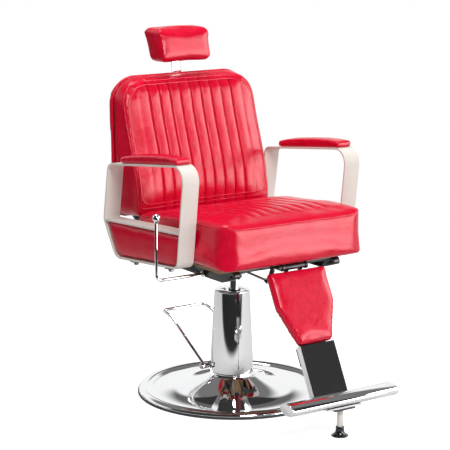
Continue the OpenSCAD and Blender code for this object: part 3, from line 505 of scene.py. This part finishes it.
# ---------------------------------------------------------------- arms
# Flat bands bent into a loop and painted champagne, their edges softly broken; an upholstered
# panel hangs under each crossbar and a padded rest is screwed on top.
champagne = Paint("champagne", (0.72, 0.665, 0.62), rough=0.4, specular=0.06)
peel = champagne.node("ShaderNodeTexNoise", "Fac", {"Vector": champagne.place(), "Scale": 420.0, "Detail": 2.0})
champagne.bump(peel, 0.0003, 0.25)
finish_of["arm_paint"] = champagne
ARM_EDGE = 0.0022
PANEL_BOARD_HALF = 0.012
for side in ("left", "right"):
    hard("arm_" + side, ARM_EDGE, ROUND_ROD)
    lo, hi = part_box("side_panel_" + side)
    board_x = (lo[0] + hi[0]) / 2
    soft("side_panel_" + side, voxel=0.0075, rounds=2, cap=0.004,
         fixed=lambda p: np.abs(p[:, 0] - board_x) < PANEL_BOARD_HALF, spare=0.004)
    soft("arm_pad_" + side, voxel=0.005, rounds=3, cap=0.004, fixed=lambda p: np.arange(len(p)) < 1,
         spare=0.004, pressure=2.0)

# ---------------------------------------------------------------- recline lever
# A chromed bent rod with a ball knob at the sitter's right. Its collar keeps it in the rail and
# its steel cam frees the recline.
for n in ("recline_lever", "lever_knob", "lever_collar", "lever_cam"):
    hard(n, ROD_EDGE, ROUND_ROD)

# ---------------------------------------------------------------- back shaft, brackets and crank
# A steel cross shaft turns in the frame's lugs. Black brackets carry the back on it, and a crank
# on it works the legrest.
for n in ("back_shaft", "back_brackets", "back_crank"):
    hard(n, PLATE_EDGE)

# ---------------------------------------------------------------- back board and headrest sleeve
# A plywood board bolted to the brackets, with a black folded sleeve for the headrest's strip.
for n in ("back_board", "headrest_sleeve"):
    hard(n, PLATE_EDGE)

# ---------------------------------------------------------------- recline link
# A steel rod from the crank to the legrest, which lifts it as the back goes down.
hard("recline_link", PLATE_EDGE)

# ---------------------------------------------------------------- back cushion
# Foam on the board under the same channelled cover as the seat. The cover is drawn down over the
# board's lower edge, and two rows of piping follow the edge of the front face.
B_LO, B_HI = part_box("back_cushion")
BACK_LEAN = 0.052
BOARD_FACE, COVER_FACE, LEAN_FROM = 0.285, 0.314, 0.6
DRAWN_DOWN, COVER_DRAWN_DOWN = 0.019, 0.017
DRAWN_OVER = 0.08


def drawn(z):
    """1 at the back's lower edge, 0 from where the cover is no longer drawn down."""
    return np.clip(1 - (z - B_LO[2]) / DRAWN_OVER, 0, 1)


def back_form(co, no):
    front = ridge(-no[:, 1], 0.3, 2, 0.4)
    x, z = co[:, 0], co[:, 2]
    inside = ridge(x, -PANEL_HALF, PANEL_HALF, 0.02) * ridge(z, 0.5, B_HI[2] - 0.012, 0.02) * front
    out = no * (inside * channels(x))[:, None]
    out[:, 2] -= DRAWN_DOWN * drawn(z)
    return out


back_pad = soft("back_cushion", voxel=0.0085, rounds=6, cap=0.006,
                fixed=lambda p: p[:, 1] > BOARD_FACE + (p[:, 2] - LEAN_FROM) * BACK_LEAN, shape=back_form,
                cuts=STITCH, keep=lambda p: 0.75 * ridge(-p[:, 2], -B_LO[2] - 0.03, 9, 0.02))

# ---------------------------------------------------------------- rear cover
# A thinly padded cover in the same fabric that closes the back from behind.
soft("back_cover", voxel=0.008, rounds=2, cap=0.004,
     fixed=lambda p: p[:, 1] < COVER_FACE + (p[:, 2] - LEAN_FROM) * BACK_LEAN,
     shape=lambda co, no: -drawn(co) * np.array([0, 0, COVER_DRAWN_DOWN]), spare=0.004)

# ---------------------------------------------------------------- back piping and welt
# Round cords sewn into the seams: two rows round the front face, laid along its lumbar curve,
# and a thicker welt where the cushion's cover meets the rear cover.
PIPING, PIPING_SUNK = 0.003, 0.001
LUMBAR_Z = np.array([0.580, 0.64, 0.69, 0.735, 0.785, 0.84, 0.89, 0.945, 0.987, 0.998, 1.001])
LUMBAR_Y = np.array([0.166, 0.168, 0.177, 0.19, 0.207, 0.227, 0.243, 0.258, 0.270, 0.284, 0.300])
OUTER_INSET, INNER_INSET = 0.004, 0.017
for k, inset, side_inset, off in ((0, OUTER_INSET, OUTER_INSET * 0.3, 0.0075), (1, INNER_INSET, INNER_INSET, 0.0035)):
    w = B_HI[0] - side_inset - 0.002
    low, top = B_LO[2] + 0.014 + inset, B_HI[2] - 0.006 - inset
    run = rounded([(-w, low), (w, low), (w, top), (-w, top)], [0.02, 0.02, 0.078, 0.078])
    face = np.interp(run[:, 1], LUMBAR_Z, LUMBAR_Y)
    tube("back_piping_%d" % k, np.c_[run[:, 0], face + off, run[:, 1]], PIPING, "back_cushion", cyclic=True,
         on=back_pad, sink=PIPING_SUNK)
WELT, WELT_HALF_WIDTH = 0.006, 0.257
low, high = B_LO[2] + 0.004, B_HI[2] - 0.004
run = rounded([(-WELT_HALF_WIDTH, low), (WELT_HALF_WIDTH, low), (WELT_HALF_WIDTH, high), (-WELT_HALF_WIDTH, high)],
              [0.024, 0.024, 0.082, 0.082])
joint_y = 0.3055 + (run[:, 1] - LEAN_FROM) * 0.0524
tube("back_welt", np.c_[run[:, 0], joint_y, run[:, 1]], WELT, "back_cushion", cyclic=True)

# ---------------------------------------------------------------- headrest strip, pin and board
# A chromed flat strip that slides in the back's sleeve, with a steel pin through its top on which
# the pillow's plywood board tilts.
for n in ("headrest_strip", "headrest_pin", "headrest_board"):
    hard(n, ROD_EDGE)

# ---------------------------------------------------------------- headrest pillow
# Foam in the crimson fabric, tacked to the board, so its rear stays flat.
PILLOW_REAR = 0.37
soft("headrest_cushion", voxel=0.005, rounds=4, cap=0.004, fixed=lambda p: p[:, 1] > PILLOW_REAR,
     spare=0.002)

# ---------------------------------------------------------------- legrest strap, channel and foot plate
# A black strap hinged under the seat, a chromed channel bent under the foot bar, and the black
# plate that is bolted between the channel and the bar.
for n in ("legrest_strap", "legrest_channel", "foot_plate"):
    hard(n, PLATE_EDGE)

# ---------------------------------------------------------------- foot bar
# Chromed oval tube with a cap pressed in each end.
TUBE_EDGE = 0.0006
hard("foot_bar", TUBE_EDGE, SMOOTH_SWEEP)
hard("bar_caps", TUBE_EDGE)

# ---------------------------------------------------------------- leg tube
# A short cream-painted tube under the bar, threaded inside for the foot.
cream = Paint("leg_paint", (0.8, 0.745, 0.68), rough=0.36, coat=0.2)
finish_of["leg_paint"] = cream
hard("leg_tube", TUBE_EDGE)

# ---------------------------------------------------------------- bell foot
# A moulded black foot that screws out of the tube to stand on the floor.
gloss = Paint("black_plastic", (0.009, 0.009, 0.011), rough=0.14, coat=0.4)
finish_of["black_plastic"] = gloss
hard("bell_foot", ROD_EDGE, SMOOTH_SWEEP)

# ---------------------------------------------------------------- legrest pad
# A thin foam pad in the crimson fabric on the strap; the side against the strap stays flat.
OUT_OF_STRAP = np.array([0, -0.891, 0.454])
HINGE = np.array([0, -0.315, 0.474])
soft("legrest_pad", voxel=0.006, rounds=2, cap=0.004,
     fixed=lambda p: (p @ OUT_OF_STRAP) < HINGE @ OUT_OF_STRAP - 0.006, spare=0.002)

# ---------------------------------------------------------------- room
# White all round. Mirrors see a bright room whose near side is dark, but for a white panel to the
# right, so that the metal and the fabric take clear edges and a sheen.
CAMERA_SIDE = (-0.572, -0.82)
PANEL_TURN, PANEL_HALF_TURN, PANEL_GLOW = 2.56, 0.42, 7.0
ROOM_SPREAD_LIGHT = 0.42
world = bpy.data.worlds.new("studio")
bpy.context.scene.world = world
world.use_nodes = True
sky = Nodes(world.node_tree)
backdrop = world.node_tree.nodes["Background"]


def axes(nodes, direction):
    """The three parts of a vector."""
    x = nodes.node("ShaderNodeSeparateXYZ", 0, {0: direction})
    return [Sock(nodes.tree, out) for out in x.out.node.outputs]


dx, dy, dz = axes(sky, sky.node("ShaderNodeTexCoord", "Generated"))
turn = dx.math("ARCTAN2", dy)
front = (dx * CAMERA_SIDE[0] + dy * CAMERA_SIDE[1]).step(-0.04, 0.16)
panel = turn.near(PANEL_TURN, PANEL_HALF_TURN) * (1.0 - dz.step(0.26, 0.42))
dark_front = front * (1.0 - panel * 0.97)
dark_left = turn.near(-0.62, 0.6) * (1.0 - dz.step(0.06, 0.2))
dark_behind = turn.near(0.61, 0.16) * dz.step(0.3, 0.4) * 0.9
dark_above = dz.step(0.46, 0.6) * 0.85
dark = (dark_front + dark_left + dark_behind + dark_above).math("MINIMUM", 1.0)
room = (1.0 - dark) * (0.96 + dz.step(0.5, 1.0) * 0.1) + dark * 0.035 + front * panel * PANEL_GLOW
camera_ray = sky.node("ShaderNodeLightPath", "Is Camera Ray")
glossy_ray = sky.node("ShaderNodeLightPath", "Is Glossy Ray")
level = camera_ray * 1.0 + (1.0 - camera_ray) * (glossy_ray * room + (1.0 - glossy_ray) * ROOM_SPREAD_LIGHT)
world.node_tree.links.new(level.out, backdrop.inputs["Strength"])
backdrop.inputs["Color"].default_value = (1, 1, 1, 1)

# ---------------------------------------------------------------- floor
# A pale matt disc that fades into the backdrop. In reflections it is bright by the chair and dark
# further out on the near side.
FLOOR_RADIUS = 2.4
floor_paint = Paint("floor", (0.6, 0.6, 0.6), rough=0.9, specular=0.0)
mirrored = floor_paint.node("ShaderNodeLightPath", "Is Glossy Ray")
fx, fy, fz = axes(floor_paint, floor_paint.place())
away = mirrored * (fx * CAMERA_SIDE[0] + fy * CAMERA_SIDE[1]).step(0.7, 0.95)
floor_paint.drive("Base Color", floor_paint.node(
    "ShaderNodeMix", 2, {0: away, 6: (0.62, 0.62, 0.62, 1.0), 7: (0.01, 0.01, 0.011, 1.0)}, data_type="RGBA"))
seen = floor_paint.node("ShaderNodeLightPath", "Is Camera Ray")
glow = floor_paint.node("ShaderNodeEmission", 0, {"Strength": seen * 0.72 + 0.01})
both = floor_paint.node("ShaderNodeAddShader", 0, {0: Sock(floor_paint.tree, floor_paint.bsdf.outputs[0]), 1: glow})
floor_paint.tree.links.new(both.out, floor_paint.tree.nodes["Material Output"].inputs["Surface"])
disc = bpy.data.meshes.new("floor")
disc.from_pydata([(FLOOR_RADIUS * math.cos(a), FLOOR_RADIUS * math.sin(a), -0.0005)
                  for a in np.linspace(0, 6.2, 60)], [], [tuple(range(60))])
floor = bpy.data.objects.new("floor", disc)
bpy.context.collection.objects.link(floor)
disc.materials.append(floor_paint.mat)

# ---------------------------------------------------------------- lamps
# Three round soft lamps: the key in front of the chair, a fill at the far arm's side and one
# overhead behind the back.
CHAIR_MIDDLE = (0, 0, 0.6)


def lamp(name, place, aim, size, power):
    data = bpy.data.lights.new(name, "AREA")
    data.shape, data.size, data.energy = "DISK", size, power
    o = bpy.data.objects.new(name, data)
    bpy.context.collection.objects.link(o)
    o.location = place
    o.rotation_euler = (Vector(aim) - Vector(place)).to_track_quat("-Z", "Y").to_euler()


lamp("key", (-0.9, -3.2, 2.9), CHAIR_MIDDLE, 1.3, 92)
lamp("fill", (3.4, -1.6, 1.9), CHAIR_MIDDLE, 1.8, 45)
lamp("top", (0.1, 0.9, 3.6), CHAIR_MIDDLE, 1.6, 60)

# ---------------------------------------------------------------- camera
# A long lens a little above the seat, turned to the chair's front and its right side.
cam_data = bpy.data.cameras.new("camera")
cam = bpy.data.objects.new("camera", cam_data)
bpy.context.collection.objects.link(cam)
az, pitch, roll = (math.radians(v) for v in (35.7445, 11.6147, 0.486))
look = Vector((math.sin(az) * math.cos(pitch), math.cos(az) * math.cos(pitch), -math.sin(pitch)))
right0 = Vector((math.cos(az), -math.sin(az), 0))
up0 = right0.cross(look)
right = right0 * math.cos(roll) + up0 * math.sin(roll)
up = right.cross(look)
m = Matrix((right, up, -look)).transposed().to_4x4()
m.translation = Vector((-3.1953, -4.5751, 1.7083))
cam.matrix_world = m
cam_data.lens, cam_data.sensor_width = 143.43, 36
cam_data.shift_x, cam_data.shift_y = -0.0772, -0.0088
scene = bpy.context.scene
scene.camera = cam
scene.render.resolution_x = scene.render.resolution_y = 450
scene.render.engine = "CYCLES"
scene.view_settings.view_transform = "Standard"
scene.view_settings.look = "None"
